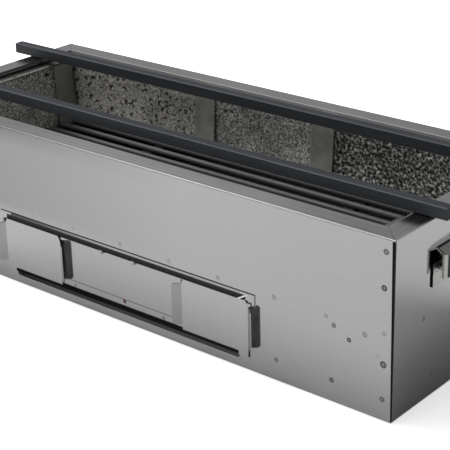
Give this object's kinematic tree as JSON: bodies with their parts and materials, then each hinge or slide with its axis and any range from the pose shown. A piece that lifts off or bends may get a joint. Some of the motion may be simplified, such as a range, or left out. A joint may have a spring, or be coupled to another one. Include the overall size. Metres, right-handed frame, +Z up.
{
  "type": "charcoal box grill",
  "caption": "Long free-standing charcoal grill: a bent stainless casing lined with stone slabs, a rod grate, loose skewer bars on the rim, sliding draught doors and end handles.",
  "frame": {"origin": "middle of the footprint, at the height of the flat bottom hem that rests on the table", "axes": "+X along the grill's length to the cook's right, +Y away from the cook, +Z up; the draught doors are on the -Y side"},
  "size_m": [0.644, 0.249, 0.1733],
  "materials": {
    "casing_steel": "bright satin",
    "inner_steel": "dull",
    "slab_stone": "porous",
    "grate_steel": "drawn rod",
    "bar_steel": "dark mill scale",
    "handle_steel": "satin"
  },
  "bodies": {
    "casing": {"front_panel": "casing_steel", "back_panel": "casing_steel", "left_panel": "casing_steel", "right_panel": "casing_steel", "base_pan": "inner_steel", "front_ledge": "inner_steel", "back_ledge": "inner_steel", "left_ledge": "inner_steel", "right_ledge": "inner_steel", "front_left_slab": "slab_stone", "front_middle_slab": "slab_stone", "front_right_slab": "slab_stone", "back_left_slab": "slab_stone", "back_middle_slab": "slab_stone", "back_right_slab": "slab_stone", "left_slab": "slab_stone", "right_slab": "slab_stone", "front_clips": "inner_steel", "back_clips": "inner_steel", "left_clips": "inner_steel", "right_clips": "inner_steel", "door_rail": "casing_steel", "left_handle": "handle_steel", "right_handle": "handle_steel", "left_rivets": "casing_steel", "right_rivets": "casing_steel"},
    "fire_grate": {"grate": "grate_steel"},
    "front_skewer_bar": {"front_bar": "bar_steel"},
    "back_skewer_bar": {"back_bar": "bar_steel"},
    "left_draught_door": {"left_door": "casing_steel"},
    "right_draught_door": {"right_door": "casing_steel"}
  },
  "joints": [
    {"name": "left_door_slide", "type": "slide", "parent": "casing", "child": "left_draught_door", "axis": [1, 0, 0], "range_m": [0, 0.055]},
    {"name": "right_door_slide", "type": "slide", "parent": "casing", "child": "right_draught_door", "axis": [-1, 0, 0], "range_m": [0, 0.055]},
    {"name": "front_bar_slide", "type": "slide", "parent": "casing", "child": "front_skewer_bar", "axis": [0, 1, 0], "range_m": [-0.045, 0.045]},
    {"name": "back_bar_slide", "type": "slide", "parent": "casing", "child": "back_skewer_bar", "axis": [0, 1, 0], "range_m": [-0.045, 0.045]},
    {"name": "grate_lift", "type": "slide", "parent": "casing", "child": "fire_grate", "axis": [0, 0, 1], "range_m": [0, 0.06]}
  ]
}
